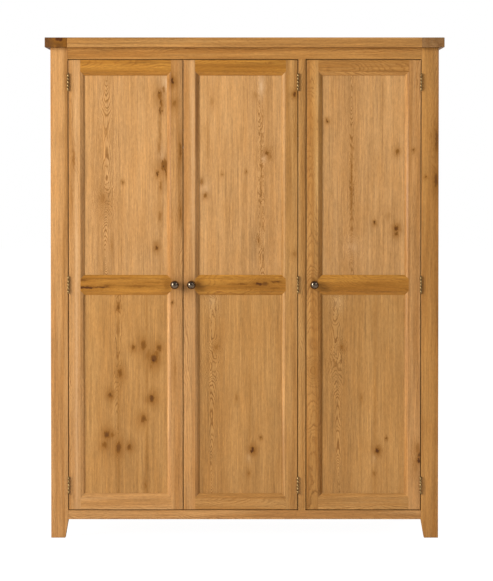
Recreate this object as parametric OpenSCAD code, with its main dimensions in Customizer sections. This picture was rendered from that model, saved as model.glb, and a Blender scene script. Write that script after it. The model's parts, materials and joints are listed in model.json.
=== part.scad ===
// Three-door oak wardrobe: post-and-rail carcass, frame-and-panel doors, brass butt hinges.
// X runs to the right, Y to the back, Z up. The origin is under the middle of the whole box.

/* [Overall] */
// Width over the posts
body_w = 1460; // [1250:5:1800]
// Depth over the posts
body_d = 575; // [470:5:700]
// Height from the floor to the top face
total_h = 1885; // [1550:5:2300]

/* [Top board] */
// Thickness of the top board
top_t = 37; // [25:1:45]
// Overhang past the posts at each side
top_over_side = 20; // [5:1:40]
// Overhang past the posts at the front
top_over_front = 20; // [5:1:35]
// Overhang past the posts at the back
top_over_back = 5; // [0:1:20]
// Width of the breadboard ends
end_w = 84; // [60:1:120]

/* [Posts and feet] */
// Width of a post, seen from the front
post_w = 65; // [58:1:90]
// Depth of a post, seen from the side
post_d = 50; // [46:1:80]
// Width of a foot at the floor
foot_w = 53; // [35:1:55]
// Depth of a foot at the floor
foot_d = 40; // [30:1:46]
// Height of the tapered foot, up to the bottom rail
foot_h = 70; // [40:1:120]

/* [Rails] */
// Height of the frieze rail and of the other top rails
frieze_h = 44; // [36:1:70]
// Height of the bottom rails
bottom_rail_h = 34; // [28:1:60]
// Depth of the front bottom rail, which also carries the floor
bottom_rail_d = 45; // [40:1:50]
// Width of the mullion between the double and the single bay
mullion_w = 28; // [26:1:50]
// Thickness of the side rails
side_rail_t = 34; // [30:1:40]
// How far side rails stand back from the outer face of the posts
side_rail_set = 5; // [0:1:8]

/* [Doors] */
// Thickness of the door frames
door_t = 22; // [20:0.2:28]
// Gap around each door
door_gap = 3; // [3:0.1:4]
// Flat width of a door stile
stile_w = 44; // [40:1:70]
// Flat height of the door's top rail
door_top_h = 43; // [36:1:70]
// Flat height of the door's middle rail
door_mid_h = 45; // [36:1:70]
// Flat height of the door's bottom rail
door_bottom_h = 46; // [36:1:90]
// Height of the middle rail's centre above the floor
door_mid_z = 955; // [800:1:1100]
// Width of the moulding around the panels
mould_w = 15; // [11:1:16]
// Depth from the door's face down to its panels
panel_depth = 8; // [6:0.5:9]
// Thickness of the door panels
panel_t = 6; // [5:0.5:7]

/* [Hinges] */
// Length of a hinge
hinge_len = 64; // [50:1:80]
// Radius of the knuckle barrel
knuckle_r = 3.5; // [3:0.1:3.6]
// Radius of the hinge pin
pin_r = 1.5; // [1:0.1:1.8]
// Thickness of a hinge leaf
leaf_t = 1.2; // [1:0.05:1.2]
// Width of a hinge leaf, back from the door's face
leaf_w = 18; // [16:1:20]
// Distance of the pin in front of the door's face
pin_forward = 3.7; // [3.7:0.1:4.5]
// From the door's top down to the top hinge's middle
hinge_top_drop = 83; // [60:1:200]
// From the door's bottom up to the bottom hinge's middle
hinge_bottom_rise = 92; // [60:1:200]

/* [Knobs] */
// Diameter of the knob's ball
knob_d = 33; // [24:1:40]
// How far the knob stands out of the door's face
knob_reach = 36; // [32:1:50]
// From the door's closing edge to the knob's centre
knob_inset = 30; // [24:1:40]
// Height of the knobs above the floor
knob_z = 956; // [800:1:1100]

/* [Inside] */
// Thickness of the floor, the shelves and the partition
board_t = 18; // [15:1:22]
// Thickness of the side panels
side_panel_t = 12; // [9:1:14]
// Thickness of the back boards
back_t = 8; // [6:1:10]
// Number of back boards
back_count = 8; // [5:1:12]
// Height of the hat space, from the shelves up to the top board
hat_space = 288; // [220:4:400]
// From the shelves' top face down to the hanging rails' centre
rail_drop = 82; // [78:1:150]
// Outer radius of the hanging rails
rail_r = 12.5; // [10:0.5:16]
// Section of the cleats under the shelves: depth
cleat_t = 20; // [15:1:25]
// Section of the cleats under the shelves: height
cleat_h = 30; // [20:1:40]

/* [Hidden] */
$fn = 48;

// Clearances
fit = 0.2;          // around tenons, tongues and panels
run_fit = 0.05;     // between a hinge pin and its knuckles
screw_fit = 0.1;    // between a screw and its hole
stop_gap = 1;       // from the back of a shut door to its stops
seat_gap = 0.5;     // around boards that drop into place
eps = 0.01;         // overshoot of cuts

// Planes of the carcass
front_y = (max(knob_reach, top_over_front) - body_d - top_over_back) / 2;
rear_y = front_y + body_d;
half_w = body_w / 2;
inner_x = half_w - post_w;              // inner face of the posts
frame_top = total_h - top_t;            // top of the posts, under the top board
frieze_z = frame_top - frieze_h;        // underside of the frieze
sill_z = foot_h + bottom_rail_h;        // top of the bottom rails
frieze_t = door_t + stop_gap;           // front rails reach back to the stops
back_y = front_y + frieze_t;            // plane behind the front rails
floor_top = sill_z + board_t;

// Doors: three of one width; the mullion stands between the second and the third.
// The width is cut to a hundredth of a millimetre, so that faces that meet stay flush.
door_z = sill_z + door_gap;
door_h = frieze_z - door_gap - door_z;
door_w = floor((2 * inner_x - mullion_w - 5 * door_gap) / 3 * 100) / 100;
mullion_x = -inner_x + 2 * door_w + 3 * door_gap;    // left face of the mullion
part_mid = mullion_x + mullion_w / 2;
mid_z = door_mid_z - door_z;                         // middle rail, in the door's own height

// Name, x of the hinge edge, and side on which it is hung (1 left, -1 right)
DOORS = [
    ["left_door", -inner_x + door_gap, 1],
    ["middle_door", mullion_x - door_gap, -1],
    ["right_door", inner_x - door_gap, -1]
];

// Joinery
tenon_t = 8;
tenon_len = 28;
side_tenon_len = 20;
stub_len = 12;
tenon_shoulder = 5;
tenon_root = 0.5;    // a tenon starts this far inside its own rail
groove_d = 10;
top_tongue_t = 12;
top_tongue_len = 14;
top_tongue_stop = 12;     // the tongue stops short of the board's front and back edges
sill_tenon_in = 10;       // from the front of the bottom rail to its tenons
stub_shoulder = 5;
board_tongue_t = 2.8;
board_tongue_len = 6;

// Panels
panel_fit = 0.2;
groove_w = panel_t + 2 * panel_fit;
lip_back_y = panel_depth + groove_w;
panel_in = mould_w - 2;                  // how far a panel enters its grooves
quirk_w = 1.2;
quirk_d = 1.1;
bead_drop = 0.4;                         // top of the round, below the door's face
round_from = 35;                         // the part of a circle that the round takes, in degrees
round_to = 60;
panel_step = 1.2;                        // last step from the round down to the panel

// Hinges
knuckles = 5;
knuckle_gap = 0.2;
knuckle_len = (hinge_len - (knuckles - 1) * knuckle_gap) / knuckles;
hinge_zs = [door_h - hinge_top_drop, knob_z - door_z, hinge_bottom_rise];
leaf_back = 0.1;                         // leaf's body starts this far behind the face
finial_h = 1.2;
finial_r = knuckle_r - 0.5;
finial_tip_r = knuckle_r - 1.4;
screw_r = 1.4;
screw_head_r = 2.6;
screw_len = 14;
screw_pitch = hinge_len * 0.36;
screw_front = leaf_w * 0.45;             // the outer screws, back from the door's face
screw_back = leaf_w * 0.62;              // the middle screw

// Catches and knob bolts
catch_w = 40;
catch_h = 14;
catch_d = 20;
plate_t = 1.2;
plate_gap = 0.3;
bolt_r = 2;
bolt_head_r = 4.5;
bolt_head_h = 2.4;
bolt_in = 10;                            // how far the bolt enters the knob
knob_neck_r = 5;
knob_base_r = 8.5;
knob_base_h = 3;

// Inside
batten_t = 20;
batten_drop = 12;                         // stop behind the doors' top edge
side_x = half_w - side_rail_set - side_rail_t;              // inner face of the side rails
panel_x = side_x + (side_rail_t - side_panel_t) / 2;        // inner face of the side panels
part_x = part_mid - board_t / 2;                            // left face of the partition
back_set = 6;                                               // boards' back, inside the posts' back
boards_y = rear_y - back_set - back_t;                      // front face of the back boards
rear_rail_t = 22;
rear_rail_d = 31;
shelf_z = frame_top - hat_space;          // top face of the shelves
shelf_set = 10;                           // shelves start this far behind the front posts
shelf_y = front_y + post_d + shelf_set;
rail_z = shelf_z - rail_drop;
rail_y = (back_y + boards_y) / 2;
tube_wall = 1.5;
socket_r = 26;
socket_t = 3;
socket_len = 14;
socket_wall = 2.5;

oak = [0.78, 0.57, 0.34];
oak_light = [0.82, 0.62, 0.40];
oak_dark = [0.52, 0.34, 0.16];
brass = [0.72, 0.56, 0.28];
pewter = [0.32, 0.27, 0.24];
steel = [0.70, 0.70, 0.68];
chrome = [0.80, 0.80, 0.80];
plastic = [0.88, 0.86, 0.80];

DOOR_PARTS = ["hinge_stile", "closing_stile", "top_rail", "middle_rail", "bottom_rail",
              "upper_panel", "lower_panel", "knob", "catch_plate", "hinge_leaves", "screws"];
CARCASS = ["front_post_left", "front_post_right", "rear_post_left", "rear_post_right",
           "side_panel_left", "side_panel_right", "side_rails", "frieze_rail", "bottom_rail",
           "rear_rails", "mullion", "top_board", "breadboard_end_left", "breadboard_end_right",
           "floor_panel", "partition", "back_boards", "shelf_left", "shelf_right",
           "shelf_cleats", "hanging_rails", "rail_sockets", "head_battens",
           "frame_hinge_leaves", "hinge_pins", "frame_screws", "magnetic_catches"];

// ---------------------------------------------------------------- helpers

// A box from its low corner to its high corner
module span(lo, hi) { translate(lo) cube(hi - lo); }

// The same piece on the left and on the right
module both_sides() {
    children();
    mirror([1, 0, 0]) children();
}

// A countersunk screw driven along +X from the face of a leaf at x = 0
module wood_screw(grow = 0) {
    rotate([0, 90, 0]) {
        cylinder(h = leaf_t, r1 = screw_head_r + grow, r2 = screw_r + grow);
        cylinder(h = screw_len + grow, r = screw_r + grow);
    }
}

// ---------------------------------------------------------------- hinges
// Own frame: pin axis at x = 0, y = -pin_forward; door side at +X; z from the hinge's middle

// One knuckle, counted from the bottom, with the tab that joins it to its leaf at +X
module knuckle(i) {
    edge = door_gap / 2;
    translate([0, -pin_forward, -hinge_len / 2 + i * (knuckle_len + knuckle_gap)]) {
        cylinder(h = knuckle_len, r = knuckle_r);
        span([edge - leaf_t, 0, 0], [edge, pin_forward + leaf_back + eps, knuckle_len]);
    }
}

// One leaf with its knuckles; side is 1 for the door's leaf and -1 for the frame's
module leaf(side, own) {
    edge = door_gap / 2;
    difference() {
        mirror([side < 0 ? 1 : 0, 0, 0]) {
            span([edge - leaf_t, leaf_back, -hinge_len / 2], [edge, leaf_w, hinge_len / 2]);
            for (i = own) knuckle(i);
        }
        translate([0, -pin_forward, -hinge_len]) cylinder(h = 2 * hinge_len, r = pin_r + run_fit);
        leaf_screws(side, screw_fit);
    }
}

// The three screws of one leaf, at their places
module leaf_screws(side, grow = 0) {
    mirror([side < 0 ? 1 : 0, 0, 0])
        for (k = [-1, 0, 1])
            translate([door_gap / 2 - leaf_t, k == 0 ? screw_back : screw_front, k * screw_pitch])
                wood_screw(grow);
}

module door_leaf() { leaf(1, [1, 3]); }
module frame_leaf() { leaf(-1, [0, 2, 4]); }

// Pin with a low finial at each end of the barrel
module pin() {
    translate([0, -pin_forward, 0]) {
        cylinder(h = hinge_len, r = pin_r, center = true);
        for (s = [0, 1])
            mirror([0, 0, s]) translate([0, 0, hinge_len / 2])
                cylinder(h = finial_h, r1 = finial_r, r2 = finial_tip_r);
    }
}

// Places its children at the three hinges of a door, in the door's own frame
module at_hinges() {
    for (z = hinge_zs) translate([-door_gap / 2, 0, z]) children();
}

// ---------------------------------------------------------------- doors
// Own frame: x from the hinge edge, y back from the face, z from the door's bottom

// Carries its children from the door's own frame into the carcass
module hang(d) {
    translate([d[1], front_y, door_z]) mirror([d[2] < 0 ? 1 : 0, 0, 0]) children();
}

// Heights of the panel openings' edges, between the flats of the rails
low_opening = [door_bottom_h, mid_z - door_mid_h / 2];
high_opening = [mid_z + door_mid_h / 2, door_h - door_top_h];

// Section of the front moulding: a sunk quirk, a round falling inwards, a step to the panel
module mould_section() {
    fall = (panel_depth - bead_drop - panel_step) / (cos(round_from) - cos(round_to));
    run = (mould_w - quirk_w) / (sin(round_to) - sin(round_from));
    polygon(concat(
        [[0, quirk_d], [quirk_w, quirk_d]],
        [for (a = [round_from:5:round_to]) [quirk_w + run * (sin(a) - sin(round_from)),
                                            bead_drop + fall * (cos(round_from) - cos(a))]],
        [[mould_w, panel_depth], [0, panel_depth]]));
}

// One mitred edge of a panel opening, w long, its outer edge on the x axis and growing to +Z
module lip(w) {
    intersection() {
        union() {
            translate([w, 0, 0]) rotate([0, -90, 0]) linear_extrude(w) mould_section();
            span([0, lip_back_y, 0], [w, door_t, mould_w]);
        }
        translate([0, door_t + 1, 0]) rotate([90, 0, 0]) linear_extrude(door_t + 2)
            polygon([[0, 0], [w, 0], [w - mould_w, mould_w], [mould_w, mould_w]]);
    }
}

// Upright edge of an opening, growing to +X from x = 0
module upright_lip(z0, z1) {
    translate([0, 0, z1]) rotate([0, 90, 0]) lip(z1 - z0);
}

// Tenon of a rail between two heights, at one end of the rail (x = 0), pointing to -X
module tenon(z0, z1, len, y0, grow = 0) {
    span([-len - grow, y0 - grow, z0 + tenon_shoulder - grow],
         [tenon_root, y0 + tenon_t + grow, z1 - tenon_shoulder + grow]);
}

door_tenon_y = (door_t - tenon_t) / 2;
rail_spans = [[0, door_bottom_h], [low_opening[1], high_opening[0]], [high_opening[1], door_h]];

// Stile with its opening at +X: body, moulded lips and mortises
module stile() {
    difference() {
        span([0, 0, 0], [stile_w, door_t, door_h]);
        for (r = rail_spans)
            translate([stile_w, 0, 0]) tenon(r[0], r[1], tenon_len, door_tenon_y, fit);
    }
    for (o = [low_opening, high_opening]) translate([stile_w, 0, 0]) upright_lip(o[0], o[1]);
}

module hinge_stile() {
    color(oak) difference() {
        stile();
        at_hinges() leaf_screws(1, screw_fit);
    }
}

module closing_stile() {
    color(oak) difference() {
        translate([door_w, 0, 0]) mirror([1, 0, 0]) stile();
        bolt_hole();
    }
}

// Hole for the knob's bolt, through the closing stile and the tenon inside it
module bolt_hole() {
    translate([door_w - knob_inset, -1, knob_z - door_z]) rotate([-90, 0, 0])
        cylinder(h = door_t + 2, r = bolt_r + screw_fit);
}

// Rail between two heights; lips on the edges that face an opening
module door_rail(z0, z1, lip_above, lip_below) {
    len = door_w - 2 * stile_w;
    span([stile_w, 0, z0], [door_w - stile_w, door_t, z1]);
    translate([stile_w, 0, 0]) tenon(z0, z1, tenon_len, door_tenon_y);
    translate([door_w - stile_w, 0, 0]) mirror([1, 0, 0]) tenon(z0, z1, tenon_len, door_tenon_y);
    if (lip_above) translate([stile_w, 0, z1]) lip(len);
    if (lip_below) translate([stile_w, 0, z0]) mirror([0, 0, 1]) lip(len);
}

module top_rail() {
    color(oak) difference() {
        door_rail(door_h - door_top_h, door_h, false, true);
        catch_screw(screw_fit);
    }
}

module middle_rail() {
    color(oak) difference() {
        door_rail(low_opening[1], high_opening[0], true, true);
        bolt_hole();
    }
}

module bottom_rail_of_door() { color(oak) door_rail(0, door_bottom_h, true, false); }

// Flat panel, loose in its grooves
module door_panel(o) {
    edge = mould_w - panel_in;
    color(oak_light)
        span([stile_w + edge, panel_depth + panel_fit, o[0] + edge],
             [door_w - stile_w - edge, panel_depth + panel_fit + panel_t, o[1] - edge]);
}

module knob() {
    ball = knob_d / 2;
    color(pewter) translate([door_w - knob_inset, 0, knob_z - door_z]) rotate([90, 0, 0])
        difference() {
            union() {
                cylinder(h = knob_base_h, r1 = knob_base_r, r2 = knob_base_r - 1);
                cylinder(h = knob_reach - ball, r = knob_neck_r);
                translate([0, 0, knob_reach - ball]) sphere(ball);
            }
            translate([0, 0, -1]) cylinder(h = bolt_in + 3, r = bolt_r + screw_fit);
        }
}

// Steel plate for the magnetic catch, on the back of the top rail near the closing edge
catch_off = 20;
catch_x = door_w - stile_w - catch_w - catch_off;
catch_mid_z = frieze_z - batten_drop - catch_h / 2 - door_z;

module catch_screw(grow = 0) {
    translate([catch_x + catch_w / 2, door_t + plate_t, catch_mid_z]) rotate([90, 0, 0]) {
        cylinder(h = plate_t, r1 = screw_head_r + grow, r2 = screw_r + grow);
        cylinder(h = screw_len + grow, r = screw_r + grow);
    }
}

module catch_plate() {
    color(steel) difference() {
        span([catch_x, door_t, catch_mid_z - catch_h / 2 + 1],
             [catch_x + catch_w, door_t + plate_t, catch_mid_z + catch_h / 2 - 1]);
        catch_screw(screw_fit);
    }
}

module hinge_leaves() { color(brass) at_hinges() door_leaf(); }

// Hinge screws, the knob's bolt and the catch plate's screw
module door_screws() {
    color(steel) {
        at_hinges() leaf_screws(1);
        catch_screw();
        translate([door_w - knob_inset, door_t, knob_z - door_z]) {
            rotate([-90, 0, 0]) cylinder(h = bolt_head_h, r1 = bolt_head_r, r2 = bolt_head_r - 1);
            rotate([90, 0, 0]) cylinder(h = door_t + bolt_in, r = bolt_r);
        }
    }
}

// ---------------------------------------------------------------- carcass

// Post outline: straight outside, tapered to the foot on its two inner sides
module post_blank(side, y0, inward) {
    x0 = side * half_w;
    intersection() {
        translate([0, y0 + (inward > 0 ? post_d : 0), 0]) rotate([90, 0, 0]) linear_extrude(post_d)
            polygon([[x0, 0], [x0 - side * foot_w, 0], [x0 - side * post_w, foot_h],
                     [x0 - side * post_w, frame_top], [x0, frame_top]]);
        translate([-half_w - 1, y0, 0]) rotate([90, 0, 90]) linear_extrude(body_w + 2)
            polygon([[0, 0], [inward * foot_d, 0], [inward * post_d, foot_h],
                     [inward * post_d, frame_top], [0, frame_top]]);
    }
}

// Tenons of the right-hand side rails, clear of the panel's groove. y_face is the post's face that
// they enter, and inward points from it to the inside (1 to the back, -1 to the front)
side_tenon_zs = [[foot_h + tenon_shoulder, sill_z - groove_d - 1],
                 [frieze_z + groove_d + 1, frame_top - tenon_shoulder]];

module side_tenons(y_face, inward, grow = 0) {
    tx = side_x + (side_rail_t - tenon_t) / 2;
    root = y_face + inward * tenon_root;
    tip = y_face - inward * (side_tenon_len + grow);
    for (z = side_tenon_zs)
        span([tx - grow, min(root, tip), z[0] - grow],
             [tx + tenon_t + grow, max(root, tip), z[1] + grow]);
}

// Cuts in a right-hand post for the side rails and the side panel
module side_cuts(y_face, inward) {
    side_tenons(y_face, inward, fit);
    span([panel_x - fit, min(y_face + inward, y_face - inward * groove_d), sill_z - groove_d],
         [panel_x + side_panel_t + fit, max(y_face + inward, y_face - inward * groove_d),
          frieze_z + groove_d]);
}

// Tenons of the cross rails at the right-hand end: y of the tenon's front, and its heights
frieze_tenon = [front_y + (frieze_t - tenon_t) / 2, frieze_z, frame_top];
sill_tenon = [front_y + sill_tenon_in, foot_h, sill_z];
rear_tenons = [[boards_y - (rear_rail_t + tenon_t) / 2, frieze_z, frame_top],
               [boards_y - (rear_rail_t + tenon_t) / 2, foot_h, sill_z]];

module cross_tenon(t, grow = 0) {
    translate([inner_x, 0, 0]) mirror([1, 0, 0]) tenon(t[1], t[2], tenon_len, t[0], grow);
}

module front_post() {
    color(oak) difference() {
        post_blank(1, front_y, 1);
        side_cuts(front_y + post_d, 1);
        cross_tenon(frieze_tenon, fit);
        cross_tenon(sill_tenon, fit);
        right_hinge_screws(screw_fit);
    }
}

module rear_post() {
    color(oak) difference() {
        post_blank(1, rear_y, -1);
        side_cuts(rear_y - post_d, -1);
        for (t = rear_tenons) cross_tenon(t, fit);
        span([inner_x - 1, boards_y - fit, foot_h], [inner_x + groove_d, boards_y + back_t + fit, total_h]);
    }
}

// Frame-side hinge screws of the door hung at the right-hand post
module right_hinge_screws(grow) { hang(DOORS[2]) at_hinges() leaf_screws(-1, grow); }

module side_panel() {
    color(oak_light)
        span([panel_x, front_y + post_d - groove_d + 1, sill_z - groove_d + 1],
             [panel_x + side_panel_t, rear_y - post_d + groove_d - 1, frieze_z + groove_d - 1]);
}

module one_side_rails() {
    for (z = [[foot_h, sill_z, 1], [frieze_z, frame_top, -1]])
        difference() {
            span([side_x, front_y + post_d, z[0]], [side_x + side_rail_t, rear_y - post_d, z[1]]);
            span([panel_x - fit, front_y, z[2] > 0 ? z[1] - groove_d : z[0] - 1],
                 [panel_x + side_panel_t + fit, rear_y, z[2] > 0 ? z[1] + 1 : z[0] + groove_d]);
        }
    side_tenons(front_y + post_d, 1);
    side_tenons(rear_y - post_d, -1);
}

module side_rails() { color(oak) both_sides() one_side_rails(); }

module frieze_rail() {
    color(oak) difference() {
        union() {
            span([-inner_x, front_y, frieze_z], [inner_x, back_y, frame_top]);
            both_sides() cross_tenon(frieze_tenon);
        }
        mullion_stub(fit);
    }
}

module bottom_rail() {
    color(oak) difference() {
        union() {
            span([-inner_x, front_y, foot_h], [inner_x, front_y + bottom_rail_d, sill_z]);
            both_sides() cross_tenon(sill_tenon);
        }
        mullion_stub(fit);
    }
}

// Stub tenons at the mullion's two ends
module mullion_stub(grow = 0) {
    span([mullion_x + stub_shoulder - grow, front_y + (frieze_t - tenon_t) / 2 - grow,
          sill_z - stub_len - grow],
         [mullion_x + mullion_w - stub_shoulder + grow, front_y + (frieze_t + tenon_t) / 2 + grow,
          frieze_z + stub_len + grow]);
}

module mullion() {
    color(oak) difference() {
        union() {
            span([mullion_x, front_y, sill_z], [mullion_x + mullion_w, back_y, frieze_z]);
            mullion_stub();
        }
        hang(DOORS[1]) at_hinges() leaf_screws(-1, screw_fit);
    }
}

module rear_rails() {
    color(oak) {
        span([-inner_x, boards_y - rear_rail_t, frieze_z], [inner_x, boards_y, frame_top]);
        span([-inner_x, boards_y - rear_rail_d, foot_h], [inner_x, boards_y, sill_z]);
        both_sides() for (t = rear_tenons) cross_tenon(t);
    }
}

// Top: a main board tongued into a breadboard end at each side
top_y0 = front_y - top_over_front;
top_y1 = rear_y + top_over_back;
end_x = half_w + top_over_side - end_w;

module top_tongue(grow = 0) {
    span([-end_x - top_tongue_len - grow, top_y0 + top_tongue_stop - grow,
          frame_top + (top_t - top_tongue_t) / 2 - grow],
         [end_x + top_tongue_len + grow, top_y1 - top_tongue_stop + grow,
          frame_top + (top_t + top_tongue_t) / 2 + grow]);
}

module top_board() {
    color(oak) {
        span([-end_x, top_y0, frame_top], [end_x, top_y1, total_h]);
        top_tongue();
    }
}

module breadboard_end() {
    color(oak_dark) difference() {
        span([end_x, top_y0, frame_top], [end_x + end_w, top_y1, total_h]);
        top_tongue(fit);
    }
}

module floor_panel() {
    x = panel_x - seat_gap;
    color(oak_light) difference() {
        span([-x, back_y, sill_z], [x, boards_y, floor_top]);
        both_sides() {
            span([inner_x - seat_gap, front_y, 0], [half_w, front_y + post_d + seat_gap, total_h]);
            span([inner_x - seat_gap, rear_y - post_d - seat_gap, 0], [half_w, rear_y, total_h]);
        }
    }
}

module partition() {
    color(oak_light) difference() {
        span([part_x, back_y, floor_top], [part_x + board_t, boards_y, frame_top]);
        span([part_x - 1, boards_y - rear_rail_t - seat_gap, frieze_z - seat_gap],
             [part_x + board_t + 1, boards_y + 1, frame_top + 1]);
    }
}

// Tongued-and-grooved boards, side by side in the rear posts' grooves
module back_boards() {
    x0 = -inner_x - groove_d + 1;
    pitch = -2 * x0 / back_count;
    mid_y = boards_y + back_t / 2;
    color(oak_light) for (i = [0:back_count - 1]) difference() {
        union() {
            span([x0 + i * pitch, boards_y, foot_h + 1], [x0 + (i + 1) * pitch - seat_gap,
                  boards_y + back_t, frame_top]);
            if (i < back_count - 1)
                span([x0 + (i + 1) * pitch - 1, mid_y - board_tongue_t / 2, foot_h + 1],
                     [x0 + (i + 1) * pitch + board_tongue_len, mid_y + board_tongue_t / 2, frame_top]);
        }
        if (i > 0)
            span([x0 + i * pitch - 1, mid_y - board_tongue_t / 2 - fit, 0],
                 [x0 + i * pitch + board_tongue_len + 1, mid_y + board_tongue_t / 2 + fit, total_h]);
    }
}

// Shelf between a side panel and the partition, notched round the rear post
module shelf(x0, x1) {
    color(oak_light) difference() {
        span([x0, shelf_y, shelf_z - board_t], [x1, boards_y - seat_gap, shelf_z]);
        both_sides()
            span([inner_x - seat_gap, rear_y - post_d - seat_gap, 0], [half_w, rear_y, total_h]);
    }
}

module shelf_left() { shelf(-panel_x + seat_gap, part_x - seat_gap); }
module shelf_right() { shelf(part_x + board_t + seat_gap, panel_x - seat_gap); }

module shelf_cleats() {
    color(oak_light) for (x = [-panel_x, part_x - cleat_t, part_x + board_t, panel_x - cleat_t])
        span([x, shelf_y, shelf_z - board_t - cleat_h],
             [x + cleat_t, rear_y - post_d - shelf_set, shelf_z - board_t]);
}

// The two bays that hold a hanging rail: from wall to wall
BAYS = [[-panel_x, part_x], [part_x + board_t, panel_x]];

module hanging_rails() {
    color(chrome) for (b = BAYS)
        translate([b[0] + socket_t + seat_gap, rail_y, rail_z]) rotate([0, 90, 0]) difference() {
            cylinder(h = b[1] - b[0] - 2 * (socket_t + seat_gap), r = rail_r);
            translate([0, 0, -1]) cylinder(h = b[1] - b[0], r = rail_r - tube_wall);
        }
}

// Flanged cup that holds one end of a hanging rail, pointing to +X from a wall at x = 0
module rail_socket() {
    rotate([0, 90, 0]) difference() {
        union() {
            cylinder(h = socket_t, r = socket_r);
            cylinder(h = socket_len, r = rail_r + socket_wall);
        }
        translate([0, 0, socket_t]) cylinder(h = socket_len, r = rail_r + fit);
    }
}

module rail_sockets() {
    color(chrome) for (b = BAYS) {
        translate([b[0], rail_y, rail_z]) rail_socket();
        translate([b[1], rail_y, rail_z]) mirror([1, 0, 0]) rail_socket();
    }
}

// Battens behind the frieze: door stops that also carry the catches
module head_battens() {
    color(oak_light) for (x = [[-inner_x, part_x], [part_x + board_t, inner_x]])
        span([x[0], back_y, frieze_z - batten_drop], [x[1], back_y + batten_t, frame_top]);
}

module magnetic_catches() {
    color(plastic) for (d = DOORS) hang(d)
        span([catch_x, door_t + plate_t + plate_gap, catch_mid_z - catch_h / 2],
             [catch_x + catch_w, door_t + plate_t + plate_gap + catch_d, catch_mid_z + catch_h / 2]);
}

module frame_hinge_leaves() { color(brass) for (d = DOORS) hang(d) at_hinges() frame_leaf(); }
module hinge_pins() { color(brass) for (d = DOORS) hang(d) at_hinges() pin(); }
module frame_screws() { color(steel) for (d = DOORS) hang(d) at_hinges() leaf_screws(-1); }

// ---------------------------------------------------------------- the pieces

mirror([1, 0, 0]) front_post();  // front_post_left
front_post();  // front_post_right
mirror([1, 0, 0]) rear_post();  // rear_post_left
rear_post();  // rear_post_right
mirror([1, 0, 0]) side_panel();  // side_panel_left
side_panel();  // side_panel_right
side_rails();
frieze_rail();
bottom_rail();
rear_rails();
mullion();
top_board();
mirror([1, 0, 0]) breadboard_end();  // breadboard_end_left
breadboard_end();  // breadboard_end_right
floor_panel();
partition();
back_boards();
shelf_left();
shelf_right();
shelf_cleats();
hanging_rails();
rail_sockets();
head_battens();
frame_hinge_leaves();
hinge_pins();
frame_screws();
magnetic_catches();

for (d = DOORS) {
    hang(d) hinge_stile();
    hang(d) closing_stile();
    hang(d) top_rail();
    hang(d) middle_rail();
    hang(d) bottom_rail_of_door();
    hang(d) door_panel(high_opening);
    hang(d) door_panel(low_opening);
    hang(d) knob();
    hang(d) catch_plate();
    hang(d) hinge_leaves();
    hang(d) door_screws();
}
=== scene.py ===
# %% [markdown]
# # A three-door oak wardrobe
# The joiner's model comes first: posts, rails, doors and hinges arrive at their real size and place.
# This lesson gives them their looks. Oak is the whole story here, so most cells are about wood:
# eased edges, growth rings cut from a virtual log, pores, and knots where the real boards have them.

# %% Load the wardrobe's frame
import json
import math

import bmesh
import bpy
from mathutils import Matrix, Vector


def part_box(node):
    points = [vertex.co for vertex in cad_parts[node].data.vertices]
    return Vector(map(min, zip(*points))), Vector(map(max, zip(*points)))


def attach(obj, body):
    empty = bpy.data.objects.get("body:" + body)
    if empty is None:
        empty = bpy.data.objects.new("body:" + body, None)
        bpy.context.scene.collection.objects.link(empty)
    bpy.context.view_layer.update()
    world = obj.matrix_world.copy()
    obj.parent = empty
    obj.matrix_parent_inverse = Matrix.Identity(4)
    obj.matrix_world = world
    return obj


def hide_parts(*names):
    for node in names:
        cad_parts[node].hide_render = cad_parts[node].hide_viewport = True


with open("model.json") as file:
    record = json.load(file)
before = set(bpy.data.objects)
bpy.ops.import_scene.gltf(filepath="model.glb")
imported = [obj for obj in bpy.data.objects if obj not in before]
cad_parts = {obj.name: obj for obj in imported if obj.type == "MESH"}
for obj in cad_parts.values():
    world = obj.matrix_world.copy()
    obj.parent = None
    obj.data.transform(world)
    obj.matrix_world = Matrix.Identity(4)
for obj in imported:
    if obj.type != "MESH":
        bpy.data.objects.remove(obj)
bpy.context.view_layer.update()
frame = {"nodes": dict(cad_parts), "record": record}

NODES = frame["nodes"]
BODIES = {node: joined for joined, nodes in frame["record"]["behaviour"]["bodies"].items()
          for node in nodes}
SLOTS = {part["node"]: part["material_slot"] for part in frame["record"]["subparts"]}
DOORS = ("left_door", "middle_door", "right_door")
MM = 0.001
print("pieces in the frame:", len(NODES))

# %% [markdown]
# ## Easing the edges
# A joiner takes the sharp corner off every board with a plane or fine paper. Without that small
# round, no edge catches the light and the wardrobe looks cut from card. The boards could be
# modelled again, but their tenons and grooves are already right, so each board is copied, its
# triangles are merged back into flat faces, and only its long outer corners are rounded.

# %% Tell boards and edges apart
TOUCHING = 0.01 * MM


def shared_planes(edge, low, high):
    """How many sides of its board's box an edge lies on."""
    a, b = (vertex.co for vertex in edge.verts)
    sides = [abs(a[k] - wall[k]) < TOUCHING and abs(b[k] - wall[k]) < TOUCHING
             for wall in (low, high) for k in range(3)]
    return sum(sides)


def islands(bm):
    """The separate boards of one mesh, as lists of vertices."""
    left = set(bm.verts)
    while left:
        group, waiting = [], [left.pop()]
        while waiting:
            vertex = waiting.pop()
            group.append(vertex)
            for edge in vertex.link_edges:
                other = edge.other_vert(vertex)
                if other in left:
                    left.remove(other)
                    waiting.append(other)
        yield group


def merged(node):
    """A board's mesh with its triangles merged back into flat faces."""
    bm = bmesh.new()
    bm.from_mesh(NODES[node].data)
    bmesh.ops.remove_doubles(bm, verts=bm.verts, dist=TOUCHING)
    bmesh.ops.dissolve_limit(bm, angle_limit=math.radians(0.5), verts=bm.verts, edges=bm.edges)
    bm.edges.index_update()
    return bm


back = merged("back_boards")
print("boards in the back:", len(list(islands(back))))
back.free()

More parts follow.
